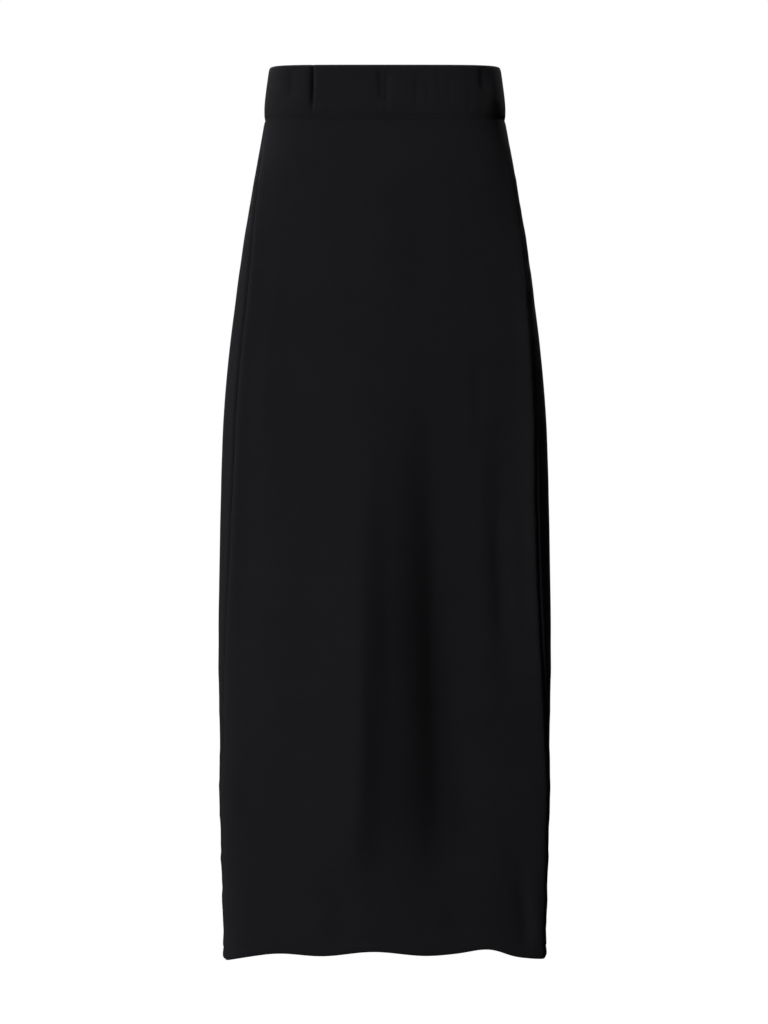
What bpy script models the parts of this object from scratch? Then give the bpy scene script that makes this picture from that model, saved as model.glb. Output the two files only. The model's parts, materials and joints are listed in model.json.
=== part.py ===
"""A long knit skirt with an elastic waist, filled out as worn and open at waist and hem.

Sizes are metres and +Z is up. The origin is the middle of the waist, halfway up the waistband.
The front faces -Y, and +X is the right-hand side as seen from the front. A drop is a distance
down from the top of the waistband. An angle of 0 is +X, 90 degrees is the front, 180 is -X.
"""

import bisect
import math
from collections import namedtuple

import bmesh
import bpy
from mathutils import Vector

# Driving sizes
LENGTH = 0.889
BAND_HEIGHT = 0.052
CLOTH = 0.0022
SEAM_GAP = 0.0003
TOP = BAND_HEIGHT / 2

# The outer line of the skirt, from waist to hem: a level oval at each drop. The square is 2 for a
# true ellipse and more where the oval is squarer. The bow is the share of the depth that the front
# and back lose towards the sides, and the lean is what the front loses besides towards +X.
Section = namedtuple(
    "Section", "drop half_width front_depth back_depth bow lean front_square back_square"
)
SECTIONS = (
    Section(0.000, 0.1157, 0.0882, 0.0892, 0.020, 0.000, 6.0, 3.2),
    Section(0.012, 0.1173, 0.0888, 0.0900, 0.024, 0.000, 6.2, 3.2),
    Section(0.036, 0.1201, 0.0908, 0.0926, 0.036, 0.000, 6.8, 3.2),
    Section(0.052, 0.1198, 0.0916, 0.0936, 0.046, 0.000, 7.4, 3.2),
    Section(0.073, 0.1234, 0.0930, 0.0972, 0.060, 0.000, 9.0, 3.1),
    Section(0.093, 0.1261, 0.0940, 0.1002, 0.068, 0.010, 11.0, 3.1),
    Section(0.133, 0.1336, 0.0954, 0.1056, 0.078, 0.030, 13.0, 3.1),
    Section(0.173, 0.1402, 0.0964, 0.1090, 0.076, 0.045, 14.0, 3.2),
    Section(0.213, 0.1461, 0.0968, 0.1102, 0.072, 0.050, 14.0, 3.3),
    Section(0.253, 0.1511, 0.0968, 0.1100, 0.068, 0.050, 13.0, 3.4),
    Section(0.293, 0.1562, 0.0966, 0.1086, 0.066, 0.055, 12.0, 3.6),
    Section(0.353, 0.1610, 0.0960, 0.1060, 0.064, 0.065, 11.5, 3.8),
    Section(0.453, 0.1638, 0.0948, 0.1020, 0.062, 0.100, 11.5, 4.0),
    Section(0.553, 0.1653, 0.0938, 0.0990, 0.056, 0.170, 12.0, 4.2),
    Section(0.622, 0.1651, 0.0932, 0.0976, 0.048, 0.200, 13.0, 4.3),
    Section(0.655, 0.1634, 0.0930, 0.0970, 0.042, 0.200, 15.0, 4.4),
    Section(0.713, 0.1640, 0.0926, 0.0962, 0.034, 0.200, 18.0, 4.4),
    Section(0.813, 0.1611, 0.0922, 0.0950, 0.030, 0.180, 18.0, 4.4),
    Section(0.889, 0.1592, 0.0920, 0.0942, 0.030, 0.140, 17.0, 4.2),
)
CORNER_SPREAD = 0.38
LEAN_START = -0.10

# How far each side seam lies in from the widest line, towards the front, and how far it stands out
Seam = namedtuple("Seam", "drop left right ridge")
SEAMS = (
    Seam(0.052, 0.0006, 0.0006, 0.0000),
    Seam(0.083, 0.0026, 0.0012, 0.0010),
    Seam(0.133, 0.0046, 0.0022, 0.0022),
    Seam(0.183, 0.0088, 0.0036, 0.0026),
    Seam(0.233, 0.0111, 0.0062, 0.0029),
    Seam(0.283, 0.0119, 0.0094, 0.0032),
    Seam(0.383, 0.0126, 0.0127, 0.0034),
    Seam(0.433, 0.0113, 0.0138, 0.0034),
    Seam(0.483, 0.0103, 0.0130, 0.0034),
    Seam(0.533, 0.0084, 0.0120, 0.0030),
    Seam(0.583, 0.0062, 0.0092, 0.0024),
    Seam(0.628, 0.0036, 0.0064, 0.0015),
    Seam(0.668, 0.0017, 0.0028, 0.0012),
    Seam(0.713, 0.0009, 0.0012, 0.0010),
    Seam(0.889, 0.0006, 0.0008, 0.0010),
)
SEAM_WIDTH = 0.011

# Lengthwise folds: across from x_top to x_foot, positive where they stand out from the cloth. The
# near side of a fold faces -X and the far side +X, each with its own width. A fold deepens over its
# first half and dies away in its last stretch. It moves the cloth forth or back, and never sideways.
Fold = namedtuple("Fold", "x_top x_foot start end near far height")
FOLD_ONSET = 0.50
FOLD_END = 0.11
FRONT_FOLDS = (
    Fold(0.046, 0.061, 0.270, 0.812, 0.025, 0.300, -0.0112),
    Fold(-0.016, -0.031, 0.350, 0.816, 0.060, 0.014, 0.0054),
    Fold(0.112, 0.120, 0.270, 0.640, 0.010, 0.012, -0.0016),
    Fold(-0.094, -0.108, 0.230, 0.690, 0.026, 0.026, 0.0012),
    Fold(0.134, 0.140, 0.760, 0.904, 0.010, 0.010, -0.0016),
)
BACK_FOLDS = (
    Fold(-0.042, -0.057, 0.310, 0.800, 0.060, 0.022, -0.0104),
    Fold(0.012, 0.024, 0.370, 0.812, 0.022, 0.056, 0.0056),
    Fold(0.076, 0.089, 0.290, 0.764, 0.028, 0.017, -0.0052),
    Fold(0.114, 0.123, 0.270, 0.714, 0.015, 0.020, 0.0022),
    Fold(-0.104, -0.113, 0.420, 0.794, 0.018, 0.012, -0.0020),
)

# Creases of the waistband, where its elastic draws the cloth in
Crease = namedtuple("Crease", "x start end width height")
FRONT_CREASES = (
    Crease(-0.071, -0.004, 0.044, 0.0042, -0.0016),
    Crease(-0.078, -0.002, 0.040, 0.0050, 0.0007),
    Crease(-0.094, 0.004, 0.036, 0.0060, -0.0009),
    Crease(0.001, 0.002, 0.040, 0.0055, -0.0010),
    Crease(0.034, 0.004, 0.046, 0.0045, -0.0006),
    Crease(0.060, 0.004, 0.046, 0.0050, -0.0006),
    Crease(0.101, 0.006, 0.034, 0.0050, -0.0010),
)
BACK_CREASES = (
    Crease(-0.086, 0.000, 0.042, 0.0050, -0.0010),
    Crease(-0.047, 0.004, 0.038, 0.0045, -0.0008),
    Crease(-0.012, -0.002, 0.044, 0.0050, -0.0012),
    Crease(0.031, 0.002, 0.040, 0.0050, -0.0008),
    Crease(0.066, 0.000, 0.046, 0.0045, -0.0013),
    Crease(0.097, 0.004, 0.036, 0.0055, -0.0008),
)

# The wall of the waistband, a folded casing: outside from the top down, then inside from the foot up
BandPoint = namedtuple("BandPoint", "drop out")
BAND_PROFILE = (
    BandPoint(0.0000, -0.0018),
    BandPoint(0.0004, -0.0010),
    BandPoint(0.0015, -0.0002),
    BandPoint(0.0055, 0.0000),
    BandPoint(0.0140, 0.0000),
    BandPoint(0.0250, 0.0000),
    BandPoint(0.0360, 0.0002),
    BandPoint(0.0440, 0.0004),
    BandPoint(0.0492, 0.0005),
    BandPoint(0.0514, 0.0000),
    BandPoint(0.0520, -0.0010),
    BandPoint(0.0520, -0.0026),
    BandPoint(0.0506, -0.0034),
    BandPoint(0.0260, -0.0035),
    BandPoint(0.0016, -0.0034),
    BandPoint(0.0003, -0.0026),
)

# The rolled edge at the hem: height above the edge, and how far it swells outwards and inwards
Roll = namedtuple("Roll", "height out inside")
HEM_ROLL = (
    Roll(0.0120, 0.0000, 0.0000),
    Roll(0.0095, 0.0003, 0.0004),
    Roll(0.0068, 0.0011, 0.0011),
    Roll(0.0042, 0.0014, 0.0016),
    Roll(0.0017, 0.0007, 0.0009),
    Roll(0.0000, -0.0008, -0.0004),
)

# The wavy line of the hem: how far it rises above its lowest point, all round
Wave = namedtuple("Wave", "angle rise")
HEM_WAVE = (
    Wave(0, 0.0058),
    Wave(30, 0.0055),
    Wave(40, 0.0034),
    Wave(43.5, 0.0020),
    Wave(50, 0.0032),
    Wave(54.5, 0.0050),
    Wave(61.3, 0.0123),
    Wave(71, 0.0078),
    Wave(80, 0.0056),
    Wave(93, 0.0098),
    Wave(106, 0.0054),
    Wave(119.2, 0.0081),
    Wave(130.7, 0.0034),
    Wave(137, 0.0010),
    Wave(142, 0.0026),
    Wave(152, 0.0048),
    Wave(184, 0.0054),
    Wave(205, 0.0096),
    Wave(232, 0.0060),
    Wave(262, 0.0118),
    Wave(292, 0.0070),
    Wave(318, 0.0112),
    Wave(345, 0.0066),
    Wave(360, 0.0058),
)
HEM_WAVE_START = 0.640

# Divisions of the meshes
PANEL_COLUMNS = 44
PANEL_ROWS = 26
BAND_COLUMNS = 120

# The knit
CLOTH_COLOUR = (0.0090, 0.0088, 0.0102, 1.0)
BAND_COLOUR = (0.0082, 0.0080, 0.0094, 1.0)
CLOTH_ROUGHNESS = 0.86


def along(table, column, place):
    """Reads a column at a place between the table's rows, on one smooth curve."""
    places = [row[0] for row in table]
    values = [getattr(row, column) for row in table]
    last = len(table) - 1
    low = min(max(bisect.bisect_right(places, place) - 1, 0), last - 1)
    span = places[low + 1] - places[low]
    share = min(max((place - places[low]) / span, 0.0), 1.0)

    def slope(row):
        before, after = max(row - 1, 0), min(row + 1, last)
        return (values[after] - values[before]) / (places[after] - places[before])

    square, cube = share**2, share**3
    return (
        (2 * cube - 3 * square + 1) * values[low]
        + (cube - 2 * square + share) * span * slope(low)
        + (3 * square - 2 * cube) * values[low + 1]
        + (cube - square) * span * slope(low + 1)
    )


def fade(value):
    """Goes smoothly from 0 to 1."""
    value = min(max(value, 0.0), 1.0)
    return value * value * (3 - 2 * value)


def oval(drop, angle):
    """The place on the outer line at this drop and angle, before folds and creases."""
    c, s = math.cos(angle), math.sin(angle)
    side = "front" if s >= 0 else "back"
    depth = along(SECTIONS, f"{side}_depth", drop)
    square = along(SECTIONS, f"{side}_square", drop)
    across = c * (1 + CORNER_SPREAD * s * s)
    forth = s * (1 + CORNER_SPREAD * c * c)
    reach = (abs(across) ** square + abs(forth) ** square) ** (1 / square)
    across, forth = across / reach, forth / reach
    lost = along(SECTIONS, "bow", drop) * across * across
    if side == "front":
        lost += along(SECTIONS, "lean", drop) * max(across - LEAN_START, 0.0)
    return Vector((along(SECTIONS, "half_width", drop) * across, -depth * forth * (1 - lost)))


def outward(drop, angle):
    """The level direction that points out of the cloth, and how far one radian reaches round it."""
    step = 0.01
    run = (oval(drop, angle + step) - oval(drop, angle - step)) / (2 * step)
    return Vector((-run.y, run.x)).normalized(), run.length


def seam_angle(drop, side):
    """How far round to the front the side seam lies, where the oval has come in by its inset."""
    line = along(SECTIONS, "half_width", drop) - along(SEAMS, side, drop)
    low, high = 0.0, 1.0
    for _ in range(30):
        middle = (low + high) / 2
        low, high = (middle, high) if oval(drop, middle).x > line else (low, middle)
    return low


def right_seam(drop):
    return seam_angle(drop, "right")


def left_seam(drop):
    return math.pi - seam_angle(drop, "left")


def bump(distance, width):
    return math.exp(-((distance / width) ** 2))


def folded(drop, angle):
    """The place on the outer line with its folds, which fade out where the line turns to the side."""
    flat = oval(drop, angle)
    side = "front" if math.sin(angle) >= 0 else "back"
    depth = along(SECTIONS, f"{side}_depth", drop)
    total = 0.0
    for fold in FRONT_FOLDS if side == "front" else BACK_FOLDS:
        share = (drop - fold.start) / (fold.end - fold.start)
        if 0 < share < 1:
            centre = fold.x_top + (fold.x_foot - fold.x_top) * share
            length = fade(share / FOLD_ONSET) * fade((1 - share) / FOLD_END)
            width = fold.near if flat.x < centre else fold.far
            total += fold.height * length * bump(flat.x - centre, width)
    return Vector((flat.x, flat.y * (1 + total / depth)))


def seams_at(drop, angle, reach):
    """How far the cloth stands out along the side seams here."""
    ridge = along(SEAMS, "ridge", drop)
    total = 0.0
    for seam in (right_seam(drop), left_seam(drop)):
        away = (angle - seam + math.pi) % (2 * math.pi) - math.pi
        total += ridge * bump(away * reach, SEAM_WIDTH)
    return total


def creases_at(drop, angle, x):
    """How far the creases of the waistband move its wall out here."""
    total = 0.0
    for crease in FRONT_CREASES if math.sin(angle) >= 0 else BACK_CREASES:
        share = (drop - crease.start) / (crease.end - crease.start)
        if 0 < share < 1:
            total += crease.height * math.sin(math.pi * share) * bump(x - crease.x, crease.width)
    return total


def placed(drop, angle, out, rise=0.0):
    """A point of the cloth, moved out from the outer line by this much and raised."""
    direction, _ = outward(drop, angle)
    flat = folded(drop, angle) + direction * out
    return Vector((flat.x, flat.y, TOP - drop + rise))


def hem_rise(drop, angle):
    wave = along(HEM_WAVE, "rise", math.degrees(angle) % 360)
    return wave * fade((drop - HEM_WAVE_START) / (LENGTH - HEM_WAVE_START))


def panel_rows():
    """Each row's drop with the swelling of the hem roll there: (drop, out, inside)."""
    first = BAND_HEIGHT + SEAM_GAP
    last = LENGTH - HEM_ROLL[0].height
    step = (last - first) / PANEL_ROWS
    body = [(first + step * row, 0.0, 0.0) for row in range(PANEL_ROWS)]
    return body + [(LENGTH - roll.height, roll.out, roll.inside) for roll in HEM_ROLL]


def cloth_material(name, colour):
    material = bpy.data.materials.new(name)
    material.use_nodes = True
    shader = material.node_tree.nodes["Principled BSDF"]
    shader.inputs["Base Color"].default_value = colour
    shader.inputs["Roughness"].default_value = CLOTH_ROUGHNESS
    shader.inputs["Metallic"].default_value = 0.0
    return material


def add_object(name, mesh_builder, material):
    """Makes the built mesh an object, smooth where it is round."""
    mesh = bpy.data.meshes.new(name)
    mesh_builder.to_mesh(mesh)
    mesh_builder.free()
    mesh.shade_smooth()
    mesh.set_sharp_from_angle(angle=math.radians(50))
    mesh.materials.append(material)
    made = bpy.data.objects.new(name, mesh)
    bpy.context.collection.objects.link(made)
    return made


def quads_between(builder, first, second, closed):
    """Joins two rows of points with a strip of faces."""
    count = len(first)
    for i in range(count if closed else count - 1):
        j = (i + 1) % count
        builder.faces.new((first[i], first[j], second[j], second[i]))


def make_panel(name, start_seam, end_seam, material):
    """A panel from one side seam round to the other, with its hem rolled up as one wall."""
    builder = bmesh.new()
    outside, inside = [], []
    for drop, swell_out, swell_in in panel_rows():
        start, end = start_seam(drop), end_seam(drop)
        start += SEAM_GAP / 2 / outward(drop, start)[1]
        end -= SEAM_GAP / 2 / outward(drop, end)[1]
        outer_row, inner_row = [], []
        for column in range(PANEL_COLUMNS + 1):
            angle = start + (end - start) * column / PANEL_COLUMNS
            relief = seams_at(drop, angle, outward(drop, angle)[1])
            rise = hem_rise(drop, angle)
            outer_row.append(builder.verts.new(placed(drop, angle, relief + swell_out, rise)))
            inner_row.append(
                builder.verts.new(placed(drop, angle, relief - CLOTH - swell_in, rise))
            )
        outside.append(outer_row)
        inside.append(inner_row)
    for row in range(len(outside) - 1):
        quads_between(builder, outside[row], outside[row + 1], closed=False)
        quads_between(builder, inside[row + 1], inside[row], closed=False)
    quads_between(builder, inside[0], outside[0], closed=False)
    quads_between(builder, outside[-1], inside[-1], closed=False)
    for column, order in ((0, 1), (-1, -1)):
        outer_edge = [row[column] for row in outside][::order]
        inner_edge = [row[column] for row in inside][::order]
        quads_between(builder, outer_edge, inner_edge, closed=False)
    bmesh.ops.recalc_face_normals(builder, faces=builder.faces)
    return add_object(name, builder, material)


def make_waistband(material):
    """The folded casing over the elastic: one ring, turned over at the top."""
    builder = bmesh.new()
    rings = []
    for point in BAND_PROFILE:
        ring = []
        for column in range(BAND_COLUMNS):
            angle = 2 * math.pi * column / BAND_COLUMNS
            relief = creases_at(point.drop, angle, oval(point.drop, angle).x)
            ring.append(builder.verts.new(placed(point.drop, angle, relief + point.out)))
        rings.append(ring)
    for i, ring in enumerate(rings):
        quads_between(builder, ring, rings[(i + 1) % len(rings)], closed=True)
    bmesh.ops.recalc_face_normals(builder, faces=builder.faces)
    return add_object("waistband", builder, material)


def clear_scene():
    for old in list(bpy.data.objects):
        bpy.data.objects.remove(old, do_unlink=True)


def main():
    clear_scene()
    knit = cloth_material("knit", CLOTH_COLOUR)
    band_knit = cloth_material("band_knit", BAND_COLOUR)
    make_waistband(band_knit)
    make_panel("front_panel", right_seam, left_seam, knit)
    make_panel("back_panel", left_seam, lambda drop: right_seam(drop) + 2 * math.pi, knit)


main()
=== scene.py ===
"""The looks of a long black knit skirt: its cloth, sewing and light.

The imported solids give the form. Each cloth shell is read off its solid's outer face, given its
creases, seams and rolled hem, and made a thin wall. Sizes are metres and +Z is up.
The front faces -Y. A turn is an angle round the skirt: 0 is +X, a quarter is the front.
"""

import json
import math
from collections import namedtuple

import bmesh
import bpy
import numpy as np
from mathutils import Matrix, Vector
from mathutils.bvhtree import BVHTree

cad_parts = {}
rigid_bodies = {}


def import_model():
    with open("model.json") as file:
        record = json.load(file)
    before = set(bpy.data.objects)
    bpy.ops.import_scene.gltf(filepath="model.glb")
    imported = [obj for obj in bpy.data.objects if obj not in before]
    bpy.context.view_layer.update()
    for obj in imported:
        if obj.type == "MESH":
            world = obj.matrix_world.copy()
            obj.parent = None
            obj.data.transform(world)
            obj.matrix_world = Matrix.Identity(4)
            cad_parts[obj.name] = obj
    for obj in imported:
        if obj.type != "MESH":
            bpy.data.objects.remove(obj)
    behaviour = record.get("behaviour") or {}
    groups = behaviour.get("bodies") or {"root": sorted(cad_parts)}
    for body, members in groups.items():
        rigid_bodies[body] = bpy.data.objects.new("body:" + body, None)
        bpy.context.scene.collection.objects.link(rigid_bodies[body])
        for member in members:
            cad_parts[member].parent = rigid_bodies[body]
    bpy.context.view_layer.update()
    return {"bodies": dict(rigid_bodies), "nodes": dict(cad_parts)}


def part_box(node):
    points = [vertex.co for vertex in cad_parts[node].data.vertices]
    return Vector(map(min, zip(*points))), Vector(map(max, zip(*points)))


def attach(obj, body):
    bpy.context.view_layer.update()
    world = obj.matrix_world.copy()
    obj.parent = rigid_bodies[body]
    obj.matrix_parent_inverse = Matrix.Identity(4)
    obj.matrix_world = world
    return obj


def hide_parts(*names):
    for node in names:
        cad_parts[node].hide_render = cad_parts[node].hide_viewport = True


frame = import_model()

bl_info = {
    "name": "Knit Skirt",
    "version": (1, 0, 0),
    "blender": (4, 5, 0),
    "location": "View3D > Sidebar > Skirt",
    "description": "Makes the cloth, sewing and studio of a long knit skirt",
    "category": "Object",
}

BODY = next(iter(frame["bodies"]))

# The point that the camera looks at
VIEW_MIDDLE = Vector((-0.0009, 0.0, -0.4153))

PANELS = ("front_panel", "back_panel")
FULL_TURN = 2 * math.pi

# How the solids are read: rays come from this far out towards the middle. One that passes through a
# seam's gap finds no face this far from the axis, and is left out.
FAR_OUT = 0.5
LEAST_RADIUS = 0.06
FINE_READINGS = 170

# A side seam is looked for between a turn on the front and one on the back, halved again and again
SEAM_SEARCH_FRONT = 0.9
SEAM_SEARCH_BACK = 0.5
SEAM_HALVINGS = 22

# Side seams are found at this many heights, from just under the waist seam to just above the hem, and
# a panel's face is read up to this small turn from them
SEAM_READINGS = 60
SEAM_READ_TOP = 0.001
SEAM_READ_FOOT = 0.012
SEAM_MARGIN = 2e-3

# The hem's edge is read from below, up into the middle of the wall. The nudge keeps the rays off the
# solids' own corners.
HEM_READINGS = 181
HEM_WALL_READ_UP = 0.022
HEM_READ_FROM_BELOW = 0.05
HALF_WALL = 0.0011
HEM_NUDGE = 1e-4

# Where the columns of a panel lie: distances from its side seams, and how far each is turned in there.
# The front is pulled in along its left seam, and swells a little over its right one.
SeamStep = namedtuple("SeamStep", "away front_left front_right back")
SEAM_STEPS = (
    SeamStep(0.0000, 0.0032, 0.0018, 0.0025),
    SeamStep(0.0006, 0.0026, 0.0009, 0.0011),
    SeamStep(0.0014, 0.0020, 0.0001, 0.0003),
    SeamStep(0.0030, 0.0010, -0.0008, 0.0000),
    SeamStep(0.0048, 0.0004, -0.0010, 0.0000),
    SeamStep(0.0080, 0.0001, -0.0008, 0.0000),
    SeamStep(0.0150, 0.0000, -0.0003, 0.0000),
    SeamStep(0.0220, 0.0000, 0.0000, 0.0000),
)
MIDDLE_COLUMNS = 40

# How far each panel's edge reaches towards the other's, so that the two touch inside the seam
SEAM_REACH = 0.00055

# At the waist the seams are turned in by this share only, and wholly this far below it
WAIST_TURN_SHARE = 0.25
WAIST_TURN_FADE = 0.045

# The rows of a panel below the waist seam, and how far each is turned in there
TopStep = namedtuple("TopStep", "below turned_in")
TOP_STEPS = (
    TopStep(0.0001, 0.0018),
    TopStep(0.0006, 0.0010),
    TopStep(0.0015, 0.0005),
    TopStep(0.0030, 0.0002),
    TopStep(0.0055, 0.0000),
    TopStep(0.0100, 0.0000),
)
MIDDLE_ROWS = 27

# The hem, curled under into a roll: how far out of the cloth's face and how far above the edge
RollStep = namedtuple("RollStep", "out up")
HEM_ROLL = (
    RollStep(0.0000, 0.0122),
    RollStep(0.0001, 0.0098),
    RollStep(0.0005, 0.0070),
    RollStep(0.0007, 0.0046),
    RollStep(0.0005, 0.0024),
    RollStep(-0.0003, 0.0008),
    RollStep(-0.0014, 0.0003),
    RollStep(-0.0024, 0.0010),
    RollStep(-0.0030, 0.0028),
    RollStep(-0.0030, 0.0048),
    RollStep(-0.0026, 0.0064),
)

# The folded casing of the waistband: out of its solid's face, and drop below its top
CasingStep = namedtuple("CasingStep", "out drop")
CASING = (
    CasingStep(-0.0017, 0.0519),
    CasingStep(-0.0009, 0.0516),
    CasingStep(-0.0004, 0.0506),
    CasingStep(-0.0001, 0.0488),
    CasingStep(0.0000, 0.0450),
    CasingStep(0.0000, 0.0380),
    CasingStep(0.0000, 0.0290),
    CasingStep(0.0000, 0.0200),
    CasingStep(0.0000, 0.0110),
    CasingStep(0.0000, 0.0045),
    CasingStep(-0.0001, 0.0018),
    CasingStep(-0.0007, 0.0004),
    CasingStep(-0.0017, 0.0000),
    CasingStep(-0.0024, 0.0007),
    CasingStep(-0.0025, 0.0024),
    CasingStep(-0.0025, 0.0110),
    CasingStep(-0.0025, 0.0260),
    CasingStep(-0.0025, 0.0400),
    CasingStep(-0.0025, 0.0496),
)
CASING_COLUMNS = 144

# The band's solid is rounded at both edges, so its face is read between these drops
CASING_FIRST_READ = 0.0022
CASING_LAST_READ = 0.0500

# The waistband is about this much wider than deep, which steers the way its creases push the cloth
BAND_WIDTH_OVER_DEPTH = 1.6

# Small gathers of the elastic above the waist seam: how many round the band, and between which drops
GATHER_COUNT = 61
GATHER_DRIFT_COUNT = 7
GATHER_DRIFT = 2
GATHER_HEIGHT = 0.00008
GATHER_TOP = 0.030
GATHER_TOP_FADE = 0.014
GATHER_FOOT = 0.0525
GATHER_FOOT_FADE = 0.004

# Creases, given one by one. Across is measured along the cloth from the middle of its own side, to +X,
# drop from the top of the waistband, and height is positive where the cloth stands out. The near
# side faces -X and the far side +X. On the waistband, across is simply X.
Crease = namedtuple("Crease", "across_top across_foot top foot near far height")

# Each crease grows and dies over these shares of its length, and wanders a little to both sides
CREASE_GROWS = 0.35
CREASE_DIES = 0.3
CREASE_WANDER = 0.12
CREASE_BENDS = 9.0
CREASE_SHIFT = 400

FRONT_CREASES = (
    Crease(0.048, 0.064, 0.380, 0.816, 0.0150, 0.0420, -0.0013),
    Crease(0.064, 0.088, 0.480, 0.816, 0.0180, 0.0800, -0.0018),
    Crease(-0.006, -0.017, 0.480, 0.812, 0.0160, 0.0300, 0.0014),
    Crease(0.004, 0.012, 0.470, 0.790, 0.0090, 0.0120, -0.0003),
    Crease(-0.026, -0.024, 0.440, 0.812, 0.0140, 0.0060, 0.0004),
    Crease(0.082, 0.088, 0.250, 0.430, 0.0080, 0.0080, 0.0004),
    Crease(0.087, 0.095, 0.270, 0.420, 0.0070, 0.0100, -0.0005),
    Crease(0.094, 0.101, 0.290, 0.570, 0.0075, 0.0075, 0.0004),
    Crease(0.112, 0.120, 0.400, 0.590, 0.0060, 0.0100, -0.0008),
    Crease(0.130, 0.136, 0.420, 0.560, 0.0100, 0.0080, 0.0003),
    Crease(0.134, 0.145, 0.790, 0.889, 0.0070, 0.0080, -0.0009),
    Crease(0.148, 0.158, 0.800, 0.889, 0.0070, 0.0060, 0.0004),
    Crease(-0.110, -0.128, 0.150, 0.430, 0.0130, 0.0100, 0.0006),
    Crease(-0.086, -0.100, 0.220, 0.520, 0.0150, 0.0180, -0.0005),
    Crease(-0.130, -0.140, 0.560, 0.800, 0.0120, 0.0140, -0.0005),
    Crease(-0.060, -0.052, 0.110, 0.300, 0.0160, 0.0160, 0.0004),
    Crease(0.020, 0.034, 0.090, 0.260, 0.0180, 0.0150, -0.0004),
    Crease(0.070, 0.060, 0.100, 0.240, 0.0140, 0.0140, 0.0003),
    Crease(-0.070, -0.060, 0.800, 0.872, 0.0180, 0.0140, 0.0005),
    Crease(0.066, 0.072, 0.812, 0.880, 0.0120, 0.0160, -0.0005),
)
BACK_CREASES = (
    Crease(-0.036, -0.050, 0.405, 0.796, 0.0090, 0.0090, -0.0012),
    Crease(-0.054, -0.068, 0.500, 0.780, 0.0120, 0.0120, -0.0006),
    Crease(0.014, 0.020, 0.420, 0.790, 0.0080, 0.0080, 0.0006),
    Crease(0.078, 0.090, 0.330, 0.750, 0.0070, 0.0070, -0.0010),
    Crease(0.098, 0.110, 0.360, 0.640, 0.0075, 0.0075, 0.0007),
    Crease(0.144, 0.156, 0.300, 0.610, 0.0080, 0.0080, -0.0007),
    Crease(-0.106, -0.117, 0.440, 0.780, 0.0065, 0.0065, -0.0010),
    Crease(-0.128, -0.140, 0.380, 0.600, 0.0080, 0.0080, 0.0006),
    Crease(-0.140, -0.150, 0.790, 0.889, 0.0060, 0.0060, -0.0009),
    Crease(0.030, 0.016, 0.100, 0.280, 0.0170, 0.0170, -0.0005),
    Crease(-0.075, -0.060, 0.110, 0.250, 0.0150, 0.0150, 0.0005),
)
BAND_FRONT_CREASES = (
    Crease(-0.0712, -0.0722, -0.012, 0.050, 0.0014, 0.0013, -0.0044),
    Crease(-0.0760, -0.0768, -0.006, 0.046, 0.0050, 0.0030, 0.0006),
    Crease(-0.0680, -0.0688, -0.004, 0.044, 0.0026, 0.0050, 0.0003),
    Crease(-0.0930, -0.0940, 0.000, 0.036, 0.0034, 0.0044, -0.0013),
    Crease(-0.1040, -0.1050, 0.000, 0.040, 0.0040, 0.0040, 0.0004),
    Crease(-0.0350, -0.0356, 0.008, 0.046, 0.0060, 0.0060, -0.0002),
    Crease(-0.0060, -0.0030, -0.004, 0.040, 0.0026, 0.0036, -0.0009),
    Crease(0.0020, 0.0010, 0.004, 0.042, 0.0022, 0.0030, -0.0009),
    Crease(0.0310, 0.0314, 0.004, 0.054, 0.0022, 0.0030, -0.0003),
    Crease(0.0430, 0.0428, 0.006, 0.050, 0.0020, 0.0026, -0.0003),
    Crease(0.0530, 0.0542, -0.004, 0.030, 0.0024, 0.0030, -0.0003),
    Crease(0.0640, 0.0642, 0.004, 0.054, 0.0022, 0.0030, -0.0003),
    Crease(0.0840, 0.0842, 0.004, 0.050, 0.0030, 0.0030, -0.0003),
    Crease(0.0965, 0.0970, -0.004, 0.030, 0.0034, 0.0044, -0.0012),
    Crease(0.1080, 0.1085, 0.000, 0.046, 0.0046, 0.0040, 0.0007),
)
BAND_BACK_CREASES = (
    Crease(-0.0860, -0.0866, -0.006, 0.046, 0.0014, 0.0014, -0.0015),
    Crease(-0.0620, -0.0616, 0.004, 0.048, 0.0026, 0.0026, -0.0005),
    Crease(-0.0470, -0.0474, 0.000, 0.040, 0.0020, 0.0020, -0.0008),
    Crease(-0.0120, -0.0128, -0.008, 0.050, 0.0013, 0.0013, -0.0018),
    Crease(-0.0076, -0.0080, 0.000, 0.044, 0.0024, 0.0024, 0.0005),
    Crease(0.0310, 0.0306, 0.004, 0.044, 0.0026, 0.0026, -0.0006),
    Crease(0.0440, 0.0448, -0.002, 0.050, 0.0020, 0.0020, -0.0005),
    Crease(0.0660, 0.0664, -0.008, 0.050, 0.0011, 0.0011, -0.0020),
    Crease(0.0704, 0.0708, 0.000, 0.044, 0.0022, 0.0022, 0.0005),
    Crease(0.0970, 0.0966, 0.004, 0.036, 0.0028, 0.0028, -0.0008),
)

# Seam pucker: small ripples beside the side seams, of these lengths and heights
Ripple = namedtuple("Ripple", "length height reach start")
RIPPLES = (
    Ripple(0.0137, 0.00022, 0.0060, 0.3),
    Ripple(0.0231, 0.00030, 0.0090, 1.9),
    Ripple(0.0617, 0.00045, 0.0160, 4.1),
)

# The pucker starts this far below the top, and its waves lengthen and shorten by a slow sway
RIPPLE_TOP = 0.06
RIPPLE_FADE = 0.06
RIPPLE_SWAY = 1.7
RIPPLE_SWAY_RATE = 31

# The rolled part of the hem keeps its own form: its points get this drop, past the last crease
HEM_MARK = 1.0
LAST_CREASED = 0.95

# Seam allowances inside the skirt: two layers of the knit, pressed flat, with overlocked raw edges.
# Depths are measured in from the outer face of the cloth.
ALLOWANCE_WIDTH = 0.0075
ALLOWANCE_COLUMNS = 5

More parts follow.
